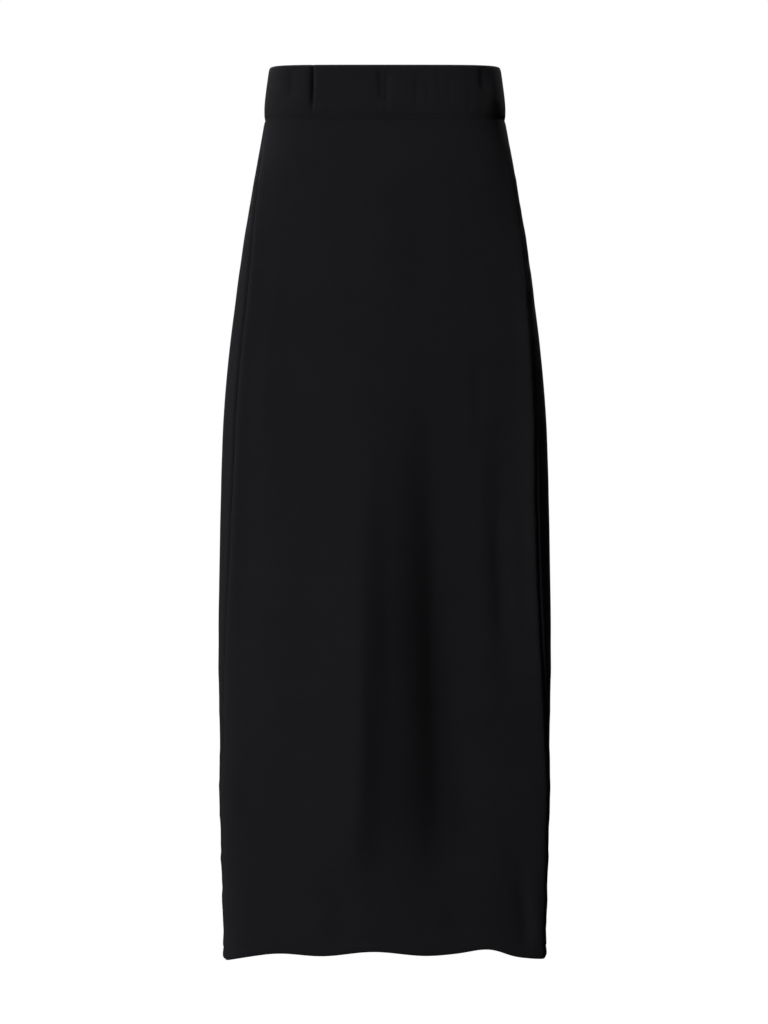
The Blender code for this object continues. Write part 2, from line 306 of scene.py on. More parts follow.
# Side allowances: their rows, where they end below the waist seam and above the hem, and the turns
# from the seam at which the back panel's face is read
SIDE_ALLOWANCE_ROWS = 110
SIDE_ALLOWANCE_TOP_GAP = 0.004
SIDE_ALLOWANCE_FOOT_GAP = 0.0075
SIDE_READINGS = 8
SIDE_READING_START = 0.004
SIDE_READING_STEP = 0.012

# The waist allowance hangs from this drop. The panels' faces are read just below their top edge.
WAIST_ALLOWANCE_COLUMNS = 132
WAIST_ALLOWANCE_TOP = 0.0498
WAIST_READING_GAP = 0.0004

THREAD_RADIUS = 0.00020
STITCH_PITCH = 0.0032

# The section of an allowance: shares of its width from the seam, and depths
AllowanceStep = namedtuple("AllowanceStep", "away depth")
ALLOWANCE_SECTION = (
    AllowanceStep(0.00, 0.0013),
    AllowanceStep(0.35, 0.0013),
    AllowanceStep(0.70, 0.0013),
    AllowanceStep(0.95, 0.0014),
    AllowanceStep(1.00, 0.0018),
    AllowanceStep(1.00, 0.0026),
    AllowanceStep(0.95, 0.0031),
    AllowanceStep(0.70, 0.0032),
    AllowanceStep(0.35, 0.0031),
    AllowanceStep(0.00, 0.0028),
)

# The size of the knit's pattern round an allowance's section, for each of its points
ALLOWANCE_PATTERN_STEP = 0.0018

# One overlock stitch: along its pitch, away from the seam as a share of the allowance, and its depth
StitchStep = namedtuple("StitchStep", "along away depth")
OVERLOCK = (
    StitchStep(0.00, 0.50, 0.00332),
    StitchStep(0.22, 0.78, 0.00342),
    StitchStep(0.38, 1.02, 0.00290),
    StitchStep(0.55, 1.05, 0.00190),
    StitchStep(0.70, 1.02, 0.00290),
    StitchStep(0.84, 0.80, 0.00340),
)
NEEDLE_LINE = (
    StitchStep(0.00, 0.49, 0.00300),
    StitchStep(0.25, 0.51, 0.00346),
    StitchStep(0.75, 0.50, 0.00346),
)

# The stitch: how its legs slant, how narrow the groove between wales is, and the reverse's waves
LEG_SLANT = -0.75
GROOVE_POWER = 5.0
PURL_WAVE = 0.18

# How the knit's colour is made up: a base, and shares of its course streaks, cloudiness and the painted
# shade of its stitches
BASE_SHADE = 0.64
STREAK_SHADE = 0.14
CLOUD_SHADE = 0.22
# Painted shade: the stitches' height darkens the colour in the grooves between loops and lightens the
# raised loops
STITCH_PAINTED_SHADE = 0.30
CLOUD_SCALE = 24.0
STREAK_STRETCH = (9.0, 520.0, 1.0)
KNIT_ROUGHNESS = 0.93
STITCH_GLOSS = -0.10
STITCH_RELIEF = 0.00022
STITCH_RELIEF_STRENGTH = 0.7

# The soft lights: their sides, and where they stand. All aim at the skirt's middle.
SoftLight = namedtuple("SoftLight", "name sides place")
LIGHTS = (
    SoftLight("key", (1.0, 2.2), (-3.1, -2.6, -0.5)),
    SoftLight("fill", (1.6, 2.2), (1.6, -3.8, -0.3)),
    SoftLight("top", (1.0, 1.0), (0.0, 0.35, 1.25)),
)
LIGHTS_AIM = Vector((0.0, 0.0, -0.42))
FLOOR_SIDE = 60


def colour_setting(name, description, default):
    return bpy.props.FloatVectorProperty(
        name=name, description=description, default=default, subtype="COLOR", size=3, min=0, max=1
    )


def length_setting(name, description, default):
    return bpy.props.FloatProperty(
        name=name, description=description, default=default, min=0, unit="LENGTH", precision=5
    )


class SkirtClothSettings(bpy.types.PropertyGroup):
    """The cloth, its thickness and its knit."""

    thickness: length_setting("Thickness", "Thickness of one layer of the knit", 0.0011)
    wale: length_setting("Wale", "Width of one column of stitches", 0.00100)
    course: length_setting("Course", "Height of one row of stitches", 0.00078)
    colour: colour_setting("Knit Colour", "Colour of the black yarn", (0.0098, 0.0094, 0.0112))
    band_colour: colour_setting("Band Colour", "Colour of the waistband", (0.0090, 0.0086, 0.0102))
    thread_colour: colour_setting("Thread Colour", "Colour of the sewing", (0.0120, 0.0115, 0.0130))
    smoothing: bpy.props.IntProperty(
        name="Smoothing", description="Subdivision levels of the cloth", default=2, min=0, max=3
    )


class SkirtStageSettings(bpy.types.PropertyGroup):
    """The camera, floor and light."""

    distance: length_setting("Camera Distance", "How far the camera stands from the skirt", 8.0)
    height: bpy.props.FloatProperty(
        name="Camera Height", description="Height of the camera", default=-0.65, unit="LENGTH"
    )
    view_height: length_setting("View Height", "Height of what the picture shows at the skirt", 1.024)
    floor_gap: length_setting("Floor Gap", "How far the floor lies below the hem", 0.22)
    key: bpy.props.FloatProperty(
        name="Key Light", description="Power of the soft light at the front left", default=222, min=0
    )
    fill: bpy.props.FloatProperty(
        name="Fill Light", description="Power of the soft light near the camera", default=9, min=0
    )
    top: bpy.props.FloatProperty(
        name="Top Light", description="Power of the soft light overhead", default=50, min=0
    )
    around: bpy.props.FloatProperty(
        name="Room Light", description="Brightness of the room all round", default=0.008, min=0
    )


# Reading the solids


def solid_tree(node):
    mesh = frame["nodes"][node].data
    points = [vertex.co.copy() for vertex in mesh.vertices]
    faces = [tuple(face.vertices) for face in mesh.polygons]
    return BVHTree.FromPolygons(points, faces)


TREES = {node: solid_tree(node) for node in ("waistband", *PANELS)}
PANEL_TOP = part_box("front_panel")[1].z
PANEL_FOOT = min(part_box(node)[0].z for node in PANELS)
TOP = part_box("waistband")[1].z


def level_direction(turn):
    return Vector((math.cos(turn), -math.sin(turn), 0.0))


def face_point(turn, radius, height):
    return (math.cos(turn) * radius, -math.sin(turn) * radius, height)


def radius_at(nodes, turn, height):
    """(the distance from the axis to the outer face of these nodes, the node's name)."""
    out = level_direction(turn)
    start = out * FAR_OUT + Vector((0, 0, height))
    found = []
    for node in nodes:
        place, _, _, distance = TREES[node].ray_cast(start, -out)
        if place is not None:
            found.append((FAR_OUT - distance, node))
    return max(found) if found else (0.0, None)


def seam_turn(height, rough):
    """The turn at which the front panel meets the back one, near a rough turn of 0 or a half."""
    to_front = 1 if rough < 1 else -1
    front = rough + to_front * SEAM_SEARCH_FRONT
    back = rough - to_front * SEAM_SEARCH_BACK
    for _ in range(SEAM_HALVINGS):
        middle = (front + back) / 2
        _, node = radius_at(PANELS, middle, height)
        front, back = (middle, back) if node == "front_panel" else (front, middle)
    return (front + back) / 2


def hem_height(turn):
    """The height of the hem's lower edge at this turn."""
    radius, _ = radius_at(PANELS, turn, PANEL_FOOT + HEM_WALL_READ_UP)
    start = level_direction(turn) * (radius - HALF_WALL)
    start.z = PANEL_FOOT - HEM_READ_FROM_BELOW
    found = [TREES[node].ray_cast(start, Vector((0, 0, 1)))[0] for node in PANELS]
    return min((place.z for place in found if place is not None), default=PANEL_FOOT)


HEM_TURNS = np.linspace(0, FULL_TURN, HEM_READINGS)
HEM_HEIGHTS = np.array([hem_height(turn + HEM_NUDGE) for turn in HEM_TURNS])


def hem_at(turn):
    return float(np.interp(turn % FULL_TURN, HEM_TURNS, HEM_HEIGHTS))


def face_line(nodes, first, last, height_at):
    """Points round the outer face between two turns, at the height for each turn: an array."""
    points = []
    for turn in np.linspace(first, last, FINE_READINGS):
        height = height_at(turn)
        radius, _ = radius_at(nodes, turn, height)
        if radius > LEAST_RADIUS:
            points.append(face_point(turn, radius, height))
    return np.array(points)


def line_lengths(line):
    steps = np.linalg.norm(np.diff(line[:, :2], axis=0), axis=1)
    return np.concatenate([[0.0], np.cumsum(steps)])


def read_line(line, lengths, places):
    return np.stack([np.interp(places, lengths, line[:, k]) for k in range(3)], axis=1)


def outward_of(line, closed=False):
    """The level outward direction at each point of a row that runs from +X over the front."""
    if closed:
        run = np.roll(line, -1, axis=0) - np.roll(line, 1, axis=0)
    else:
        run = np.gradient(line, axis=0)
    out = np.stack([-run[:, 1], run[:, 0], np.zeros(len(line))], axis=1)
    return out / np.linalg.norm(out, axis=1, keepdims=True)


# Building meshes


def select_only(piece):
    bpy.ops.object.select_all(action="DESELECT")
    bpy.context.view_layer.objects.active = piece
    piece.select_set(True)


def apply_all(piece):
    select_only(piece)
    for modifier in list(piece.modifiers):
        bpy.ops.object.modifier_apply(modifier=modifier.name)


def grid_object(name, points, flat, closed, extras):
    """A sheet of square faces: points[row][column], with a UV map in metres and point attributes."""
    rows, columns = points.shape[:2]
    builder = bmesh.new()
    uv = builder.loops.layers.uv.new("cloth")
    layers = {key: builder.verts.layers.float.new(key) for key in extras}
    made = [[builder.verts.new(points[r, c]) for c in range(columns)] for r in range(rows)]
    for key, layer in layers.items():
        for r in range(rows):
            for c in range(columns):
                made[r][c][layer] = float(extras[key][r, c])
    for r in range(rows - 1):
        for c in range(columns if closed else columns - 1):
            d = (c + 1) % columns
            corners = ((r, c), (r + 1, c), (r + 1, d), (r, d))
            face = builder.faces.new([made[i][j] for i, j in corners])
            face.smooth = True
            for loop, (i, j) in zip(face.loops, corners):
                column = columns if closed and j == 0 and c == columns - 1 else j
                loop[uv].uv = flat[i, column]
    mesh = bpy.data.meshes.new(name)
    builder.to_mesh(mesh)
    builder.free()
    piece = bpy.data.objects.new(name, mesh)
    bpy.context.collection.objects.link(piece)
    return piece


def smooth_out(piece, levels):
    select_only(piece)
    modifier = piece.modifiers.new("smooth", "SUBSURF")
    modifier.levels = modifier.render_levels = levels
    apply_all(piece)


def fade(value):
    value = np.clip(value, 0.0, 1.0)
    return value * value * (3 - 2 * value)


def vertex_arrays(piece):
    mesh = piece.data
    places = np.zeros(len(mesh.vertices) * 3)
    mesh.vertices.foreach_get("co", places)
    normals = np.zeros(len(mesh.vertices) * 3)
    mesh.vertices.foreach_get("normal", normals)
    return places.reshape(-1, 3), normals.reshape(-1, 3)


def attribute_array(piece, key):
    values = np.zeros(len(piece.data.vertices))
    piece.data.attributes[key].data.foreach_get("value", values)
    return values


def crease_heights(creases, across, drop):
    """How far the creases move each point out. Each is soft, and dies away at both ends."""
    total = np.zeros(len(across))
    for crease in creases:
        share = (drop - crease.top) / (crease.foot - crease.top)
        centre = crease.across_top + (crease.across_foot - crease.across_top) * share
        bend = np.sin(share * CREASE_BENDS + crease.across_top * CREASE_SHIFT)
        away = across - centre - CREASE_WANDER * crease.near * bend
        width = np.where(away < 0, crease.near, crease.far)
        length = fade(share / CREASE_GROWS) * fade((1 - share) / CREASE_DIES)
        total += crease.height * length * np.exp(-((away / width) ** 2))
    return total


def ripple_heights(drop, away):
    """How far the pucker of a side seam moves the cloth beside it out."""
    total = np.zeros(len(drop))
    alive = fade((drop - RIPPLE_TOP) / RIPPLE_FADE) * (drop < LAST_CREASED)
    sway = RIPPLE_SWAY * np.sin(drop * RIPPLE_SWAY_RATE)
    for ripple in RIPPLES:
        wave = np.sin(FULL_TURN * drop / ripple.length + ripple.start + sway)
        total += ripple.height * wave * alive * np.exp(-away / ripple.reach)
    return total


def move_out(piece, distances):
    places, normals = vertex_arrays(piece)
    moved = places + normals * distances[:, None]
    piece.data.vertices.foreach_set("co", moved.ravel())
    piece.data.update()


def thicken(piece, thickness, reverse_material):
    """Gives the cloth its wall, behind its outer face, with the knit's reverse on the inside."""
    piece.data.materials.append(reverse_material)
    modifier = piece.modifiers.new("wall", "SOLIDIFY")
    modifier.thickness = thickness
    modifier.offset = -1
    modifier.use_even_offset = False
    modifier.material_offset = 1
    modifier.material_offset_rim = 0
    apply_all(piece)


def seam_finder(front):
    """A function that gives the turns at which one panel starts and ends at a height."""
    heights = np.linspace(PANEL_FOOT + SEAM_READ_FOOT, PANEL_TOP - SEAM_READ_TOP, SEAM_READINGS)
    right = [seam_turn(height, 0.0) for height in heights]
    left = [seam_turn(height, math.pi) for height in heights]

    def ends(height):
        at_right = float(np.interp(height, heights, right))
        at_left = float(np.interp(height, heights, left))
        return (at_right, at_left) if front else (at_left, at_right + FULL_TURN)

    return ends


def panel_levels(full):
    """(how far it lies below the waist seam, how far it is turned in there) for each level row."""
    levels = list(TOP_STEPS)
    first = TOP_STEPS[-1].below
    steps = MIDDLE_ROWS + 1
    for k in range(1, steps + 1):
        levels.append(TopStep(first + (full - first) * k / steps, 0.0))
    return levels


def turned_in_at_seams(front, down_by, count):
    """How far each of a row's points is turned in, from its first seam to its last."""
    turned_in = np.zeros(count)
    size = len(SEAM_STEPS)
    turned_in[:size] = [step.front_right if front else step.back for step in SEAM_STEPS]
    turned_in[-size:] = [step.front_left if front else step.back for step in SEAM_STEPS][::-1]
    # Under the waistband the two panels' edges meet flush, and the groove deepens below.
    return turned_in * (WAIST_TURN_SHARE + (1 - WAIST_TURN_SHARE) * fade(down_by / WAIST_TURN_FADE))


def reach_for_seam(row, out):
    """Moves both ends of a row along the cloth, so that the panels touch inside their seams."""
    for end, sign in ((0, -1), (-1, 1)):
        row[end] += sign * SEAM_REACH * np.array([out[end][1], -out[end][0], 0.0])


def panel_rows(front):
    """One panel's points, flat places and attributes, row by row, and its length down the cloth."""
    ends = seam_finder(front)
    edge = np.array([step.away for step in SEAM_STEPS])
    body_foot = HEM_ROLL[0].up
    full = PANEL_TOP - PANEL_FOOT - body_foot
    rows, flats, seams, drops = [], [], [], []
    for level in panel_levels(full):
        share = level.below / full

        def height_at(turn, share=share):
            return PANEL_TOP + (hem_at(turn) + body_foot - PANEL_TOP) * share

        first, last = ends(PANEL_TOP - level.below)
        line = face_line(PANELS, first + SEAM_MARGIN, last - SEAM_MARGIN, height_at)
        lengths = line_lengths(line)
        whole = lengths[-1]
        middle = np.linspace(edge[-1], whole - edge[-1], MIDDLE_COLUMNS + 1)[1:-1]
        places = np.concatenate([edge, middle, whole - edge[::-1]])
        row = read_line(line, lengths, places)
        out = outward_of(row)
        turned_in = turned_in_at_seams(front, level.below, len(places)) + level.turned_in
        row = row - out * turned_in[:, None]
        reach_for_seam(row, out)
        rows.append(row)
        flats.append(np.stack([whole / 2 - places, np.full(len(places), -level.below)], axis=1))
        seams.append(np.minimum(places, whole - places))
        drops.append(TOP - row[:, 2])
    down_cloth = full
    before = start = HEM_ROLL[0]
    for step in HEM_ROLL[1:]:
        down_cloth += math.hypot(step.out - before.out, step.up - before.up)
        rolled = row + out * (step.out - start.out)
        rolled[:, 2] += step.up - start.up
        rows.append(rolled)
        flats.append(np.stack([whole / 2 - places, np.full(len(places), -down_cloth)], axis=1))
        seams.append(seams[-1])
        drops.append(np.full(len(places), HEM_MARK))
        before = step
    extras = {"from_seam": np.array(seams), "drop": np.array(drops)}
    extras["across"] = np.array(flats)[:, :, 0]
    return np.array(rows), np.array(flats), extras, down_cloth


def make_panel(name, front, settings, face_material, reverse_material):
    """One panel's cloth, read off its solid, with turned-in seams and a rolled hem."""
    points, flat, extras, down_cloth = panel_rows(front)
    # The columns are turned round, so that the faces point outwards.
    turned = {key: value[:, ::-1] for key, value in extras.items()}
    piece = grid_object(name, points[:, ::-1], flat[:, ::-1], closed=False, extras=turned)
    piece.data.materials.append(face_material)
    smooth_out(piece, settings.smoothing)
    across = attribute_array(piece, "across") * (1 if front else -1)
    drop = attribute_array(piece, "drop")
    away = attribute_array(piece, "from_seam")
    relief = crease_heights(FRONT_CREASES if front else BACK_CREASES, across, drop)
    relief = np.where(drop < LAST_CREASED, relief, 0.0) + ripple_heights(drop, away)
    move_out(piece, relief)
    area = sum(face.area for face in piece.data.polygons)
    thicken(piece, settings.thickness, reverse_material)
    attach(piece, BODY)
    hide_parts("front_panel" if front else "back_panel")
    widest = 2 * extras["from_seam"].max()
    return piece, (float(widest), float(down_cloth)), float(area)


def band_line(drop):
    """The waistband's outer face at this drop: an even closed row, its outward directions, its length."""
    height = TOP - min(max(drop, CASING_FIRST_READ), CASING_LAST_READ)
    line = face_line(("waistband",), 0.0, FULL_TURN, lambda turn: height)
    lengths = line_lengths(line)
    places = np.linspace(0, lengths[-1], CASING_COLUMNS + 1)[:-1]
    row = read_line(line, lengths, places)
    row[:, 2] = TOP - drop
    return row, outward_of(row, closed=True), lengths[-1]


def casing_rows():
    """The casing's points, flat places and drops from its foot inside to its foot outside."""
    rows, flats, drops = [], [], []
    down_cloth, widest, before = 0.0, 0.0, CASING[0]
    for step in CASING:
        down_cloth += math.hypot(step.out - before.out, step.drop - before.drop)
        row, out, whole = band_line(step.drop)
        widest = max(widest, whole)
        rows.append(row + out * step.out)
        around = np.linspace(0, whole, CASING_COLUMNS + 1)
        flats.append(np.stack([-around, np.full(len(around), down_cloth)], axis=1))
        drops.append(np.full(CASING_COLUMNS, step.drop))
        before = step
    flat = (float(widest), float(down_cloth))
    return np.array(rows)[::-1], np.array(flats)[::-1], np.array(drops)[::-1], flat


def gather_heights(places, drop):
    """The small even gathers that the elastic draws into the casing above its seam."""
    around = np.arctan2(-places[:, 1], places[:, 0])
    drift = GATHER_DRIFT * np.sin(around * GATHER_DRIFT_COUNT)
    gather = GATHER_HEIGHT * np.sin(around * GATHER_COUNT + drift)
    from_top = fade((drop - GATHER_TOP) / GATHER_TOP_FADE)
    return gather * from_top * fade((GATHER_FOOT - drop) / GATHER_FOOT_FADE)


def make_casing(settings, face_material, reverse_material):
    """The waistband's casing: one strip folded over at the top, open at its foot where it is sewn."""
    points, flats, drops, flat = casing_rows()
    piece = grid_object("band_casing", points, flats, closed=True, extras={"drop": drops})
    piece.data.materials.append(face_material)
    bpy.context.view_layer.update()
    if outward_share(piece) < 0:
        piece.data.flip_normals()
    smooth_out(piece, settings.smoothing)
    places, _ = vertex_arrays(piece)
    drop = attribute_array(piece, "drop")
    front = crease_heights(BAND_FRONT_CREASES, places[:, 0], drop)
    back = crease_heights(BAND_BACK_CREASES, places[:, 0], drop)
    relief = np.where(places[:, 1] < 0, front, back) + gather_heights(places, drop)
    directions = places / (BAND_WIDTH_OVER_DEPTH, 1, 1) * (1, 1, 0)
    directions /= np.linalg.norm(directions, axis=1, keepdims=True)
    piece.data.vertices.foreach_set("co", (places + directions * relief[:, None]).ravel())
    piece.data.update()
    area = sum(face.area for face in piece.data.polygons)
    thicken(piece, settings.thickness, reverse_material)
    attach(piece, BODY)
    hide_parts("waistband")
    return piece, flat, float(area)


def side_strip(rough, sign):
    """The back panel's outer face beside one side seam: points and outward directions, row by row."""
    points, outs = [], []
    top = PANEL_TOP - SIDE_ALLOWANCE_TOP_GAP
    away = np.linspace(0, ALLOWANCE_WIDTH, ALLOWANCE_COLUMNS)
    for height in np.linspace(top, hem_at(rough) + SIDE_ALLOWANCE_FOOT_GAP, SIDE_ALLOWANCE_ROWS):
        seam = seam_turn(height, rough)
        line = []
        for step in range(SIDE_READINGS):
            turn = seam + sign * (SIDE_READING_START + step * SIDE_READING_STEP)
            radius, _ = radius_at(("back_panel",), turn, height)
            line.append(face_point(turn, radius, height))
        line = np.array(line)
        row = read_line(line, line_lengths(line), away)
        out = sign * outward_of(row)
        drop = np.full(ALLOWANCE_COLUMNS, TOP - height)
        points.append(row + out * ripple_heights(drop, away)[:, None])
        outs.append(out)
    return np.array(points), np.array(outs)


def waist_strip():
    """The panels' outer face just below the waist seam: points and directions, column by column."""
    rows, outs = [], []
    for share in np.linspace(0, 1, ALLOWANCE_COLUMNS):
        drop = WAIST_ALLOWANCE_TOP + ALLOWANCE_WIDTH * share
        height = min(TOP - drop, PANEL_TOP - WAIST_READING_GAP)
        line = face_line(PANELS, 0.0, FULL_TURN, lambda turn: height)
        lengths = line_lengths(line)
        places = np.linspace(0, lengths[-1], WAIST_ALLOWANCE_COLUMNS + 1)[:-1]
        row = read_line(line, lengths, places)
        row[:, 2] = TOP - drop
        rows.append(row)
        outs.append(outward_of(row, closed=True))
    return np.array(rows).swapaxes(0, 1), np.array(outs).swapaxes(0, 1)


def strip_place(strip, closed, along, away, depth):
    """A point in a seam allowance: along in steps of the strip, away as a share of its width."""
    points, outs = strip
    count = len(points)
    along = along % count if closed else min(max(along, 0.0), count - 1.001)
    first = int(along)
    second = (first + 1) % count
    across = away * (ALLOWANCE_COLUMNS - 1)
    low = min(int(across), ALLOWANCE_COLUMNS - 2)
    place, direction = np.zeros(3), np.zeros(3)
    for index, weight in ((first, 1 - (along - first)), (second, along - first)):
        for column, share in ((low, 1 - (across - low)), (low + 1, across - low)):
            place += weight * share * points[index, column]
            direction += weight * share * outs[index, column]
    return place - direction * depth


def make_allowance(name, strip, closed, material):
    """Two layers of knit beside a seam, as one closed shell with a rounded raw edge."""
    count = len(strip[0])
    builder = bmesh.new()
    uv = builder.loops.layers.uv.new("cloth")
    pitch = float(np.linalg.norm(strip[0][1, 0] - strip[0][0, 0]))
    rings = []
    for index in range(count):
        section = [strip_place(strip, closed, index, step.away, step.depth) for step in ALLOWANCE_SECTION]
        rings.append([builder.verts.new(place) for place in section])
    size = len(ALLOWANCE_SECTION)
    for index in range(count if closed else count - 1):
        ring, after = rings[index], rings[(index + 1) % count]
        for k in range(size):
            n = (k + 1) % size
            face = builder.faces.new((ring[k], ring[n], after[n], after[k]))
            face.smooth = True
            corners = ((index, k), (index, k + 1), (index + 1, k + 1), (index + 1, k))
            for loop, (i, j) in zip(face.loops, corners):
                loop[uv].uv = (j * ALLOWANCE_PATTERN_STEP, i * pitch)
    if not closed:
        builder.faces.new(rings[0])
        builder.faces.new(rings[-1][::-1])
    bmesh.ops.recalc_face_normals(builder, faces=builder.faces)
    mesh = bpy.data.meshes.new(name)
    builder.to_mesh(mesh)
    builder.free()
    mesh.materials.append(material)
    piece = bpy.data.objects.new(name, mesh)
    bpy.context.collection.objects.link(piece)
    smooth_out(piece, 1)
    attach(piece, BODY)
    return piece


def make_thread(name, strip, closed, steps, material):
    """One thread that repeats its stitch all along a seam allowance."""
    points = strip[0]
    gaps = np.linalg.norm(np.diff(points[:, 0], axis=0), axis=1)
    length = float(gaps.sum())
    if closed:
        length += float(np.linalg.norm(points[-1, 0] - points[0, 0]))
    stitches = round(length / STITCH_PITCH)
    span = len(points) if closed else len(points) - 1
    path = []
    for stitch in range(stitches):
        for step in steps:
            along = (stitch + step.along) / stitches * span
            path.append(strip_place(strip, closed, along, step.away, step.depth))
    curve = bpy.data.curves.new(name, "CURVE")
    curve.dimensions = "3D"
    curve.bevel_depth = THREAD_RADIUS
    curve.bevel_resolution = 0
    curve.use_fill_caps = True
    spline = curve.splines.new("POLY")
    spline.points.add(len(path) - 1)
    for point, place in zip(spline.points, path):
        point.co = (*place, 1.0)
    spline.use_cyclic_u = closed
    piece = bpy.data.objects.new(name, curve)
    bpy.context.collection.objects.link(piece)
    select_only(piece)
    bpy.ops.object.convert(target="MESH")
    piece = bpy.context.object
    piece.data.materials.clear()
    piece.data.materials.append(material)
    piece.data.shade_smooth()
    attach(piece, BODY)
    return piece


def outward_share(piece):
    """Positive where the sheet's faces point away from the axis on the whole."""
    total = 0.0
    for face in piece.data.polygons:
        total += face.normal.x * face.center.x + face.normal.y * face.center.y
    return total


# Materials


def new_group(name, inputs, outputs):
    group = bpy.data.node_groups.new(name, "ShaderNodeTree")
    for label, kind, value in inputs:
        socket = group.interface.new_socket(label, in_out="INPUT", socket_type=kind)
        if value is not None:
            socket.default_value = value
    for label, kind in outputs:
        group.interface.new_socket(label, in_out="OUTPUT", socket_type=kind)
    return group, group.nodes.new("NodeGroupInput"), group.nodes.new("NodeGroupOutput")


def math_node(tree, operation, first, second=None, third=None):
    node = tree.nodes.new("ShaderNodeMath")
    node.operation = operation
    for socket, value in zip(node.inputs, (first, second, third)):
        if value is None:
            continue
        if hasattr(value, "default_value"):
            tree.links.new(value, socket)
        else:
            socket.default_value = value
    return node.outputs[0]


def knit_group():
    """Stitches of a plain knit on a UV map in metres: each wale is a column of little V shapes."""
    inputs = (
        ("Vector", "NodeSocketVector", None),
        ("Wale", "NodeSocketFloat", 0.0010),
        ("Course", "NodeSocketFloat", 0.0008),
        ("Reverse", "NodeSocketFloat", 0.0),
    )
    outputs = (("Height", "NodeSocketFloat"), ("Streak", "NodeSocketFloat"))
    group, start, end = new_group("Knit Stitches", inputs, outputs)
    split = group.nodes.new("ShaderNodeSeparateXYZ")
    group.links.new(start.outputs["Vector"], split.inputs[0])
    across = math_node(group, "DIVIDE", split.outputs["X"], start.outputs["Wale"])
    up = math_node(group, "DIVIDE", split.outputs["Y"], start.outputs["Course"])
    place = math_node(group, "FRACT", across)
    centred = math_node(group, "ABSOLUTE", math_node(group, "MULTIPLY_ADD", place, 2.0, -1.0))
    leg = math_node(group, "FRACT", math_node(group, "MULTIPLY_ADD", centred, LEG_SLANT, up))
    strand = math_node(group, "SINE", math_node(group, "MULTIPLY", leg, math.pi))
    edge = math_node(group, "POWER", centred, GROOVE_POWER)
    face = math_node(group, "MULTIPLY", strand, math_node(group, "SUBTRACT", 1.0, edge))
    wave = math_node(group, "SINE", math_node(group, "MULTIPLY", across, FULL_TURN))
    purl_up = math_node(group, "FRACT", math_node(group, "MULTIPLY_ADD", wave, PURL_WAVE, up))
    purl = math_node(group, "SINE", math_node(group, "MULTIPLY", purl_up, math.pi))
    mix = group.nodes.new("ShaderNodeMix")
    group.links.new(start.outputs["Reverse"], mix.inputs["Factor"])
    group.links.new(face, mix.inputs["A"])
    group.links.new(purl, mix.inputs["B"])
    group.links.new(mix.outputs["Result"], end.inputs["Height"])
    stretch = group.nodes.new("ShaderNodeVectorMath")
    stretch.operation = "MULTIPLY"
    group.links.new(start.outputs["Vector"], stretch.inputs[0])
    stretch.inputs[1].default_value = STREAK_STRETCH
    streak = group.nodes.new("ShaderNodeTexNoise")
    streak.inputs["Scale"].default_value = 1.0
    streak.inputs["Detail"].default_value = 2.0
    group.links.new(stretch.outputs[0], streak.inputs["Vector"])
    group.links.new(streak.outputs["Fac"], end.inputs["Streak"])
    return group


def knit_material(name, group, settings, colour, reverse=0.0):
    """The knit: dark yarn with faint course streaks, stitch relief, painted shade in the stitch grooves
    and a soft fibre sheen.
    """
    material = bpy.data.materials.new(name)
    material.use_nodes = True
    tree = material.node_tree
    shader = tree.nodes["Principled BSDF"]
    coordinates = tree.nodes.new("ShaderNodeUVMap")
    coordinates.uv_map = "cloth"
    stitches = tree.nodes.new("ShaderNodeGroup")
    stitches.node_tree = group
    stitches.inputs["Wale"].default_value = settings.wale
    stitches.inputs["Course"].default_value = settings.course
    stitches.inputs["Reverse"].default_value = reverse
    tree.links.new(coordinates.outputs[0], stitches.inputs["Vector"])
    cloud = tree.nodes.new("ShaderNodeTexNoise")
    cloud.inputs["Scale"].default_value = CLOUD_SCALE
    cloud.inputs["Detail"].default_value = 4.0
    place = tree.nodes.new("ShaderNodeTexCoord")
    tree.links.new(place.outputs["Object"], cloud.inputs["Vector"])
    shade = math_node(tree, "MULTIPLY_ADD", stitches.outputs["Streak"], STREAK_SHADE, BASE_SHADE)
    shade = math_node(tree, "MULTIPLY_ADD", cloud.outputs["Fac"], CLOUD_SHADE, shade)
    # Painted shade: the stitches' height darkens the colour in the grooves between the loops and lightens
    # the loops
    shade = math_node(tree, "MULTIPLY_ADD", stitches.outputs["Height"], STITCH_PAINTED_SHADE, shade)
    tint = tree.nodes.new("ShaderNodeVectorMath")
    tint.operation = "SCALE"
    tint.inputs[0].default_value = colour
    tree.links.new(shade, tint.inputs["Scale"])
    tree.links.new(tint.outputs[0], shader.inputs["Base Color"])
    rough = math_node(tree, "MULTIPLY_ADD", stitches.outputs["Height"], STITCH_GLOSS, KNIT_ROUGHNESS)
    tree.links.new(rough, shader.inputs["Roughness"])
    bump = tree.nodes.new("ShaderNodeBump")
    bump.inputs["Distance"].default_value = STITCH_RELIEF
    bump.inputs["Strength"].default_value = STITCH_RELIEF_STRENGTH
    tree.links.new(stitches.outputs["Height"], bump.inputs["Height"])
    tree.links.new(bump.outputs[0], shader.inputs["Normal"])
    shader.inputs["Specular IOR Level"].default_value = 0.12
    shader.inputs["Sheen Weight"].default_value = 0.04
    shader.inputs["Sheen Roughness"].default_value = 0.45
    shader.inputs["Sheen Tint"].default_value = (0.80, 0.82, 1.0, 1.0)
    return material


def thread_material(name, colour):
    """Twisted sewing thread: dark, a little glossier than the knit, with a fine uneven tone."""
    material = bpy.data.materials.new(name)
    material.use_nodes = True
    tree = material.node_tree
    shader = tree.nodes["Principled BSDF"]
    place = tree.nodes.new("ShaderNodeTexCoord")
    grain = tree.nodes.new("ShaderNodeTexNoise")
    grain.inputs["Scale"].default_value = 900.0
    tree.links.new(place.outputs["Object"], grain.inputs["Vector"])
    tint = tree.nodes.new("ShaderNodeVectorMath")
    tint.operation = "SCALE"
    tint.inputs[0].default_value = colour
    tree.links.new(math_node(tree, "MULTIPLY_ADD", grain.outputs["Fac"], 0.8, 0.6), tint.inputs["Scale"])
    tree.links.new(tint.outputs[0], shader.inputs["Base Color"])
    shader.inputs["Roughness"].default_value = 0.55
    shader.inputs["Specular IOR Level"].default_value = 0.25
    return material


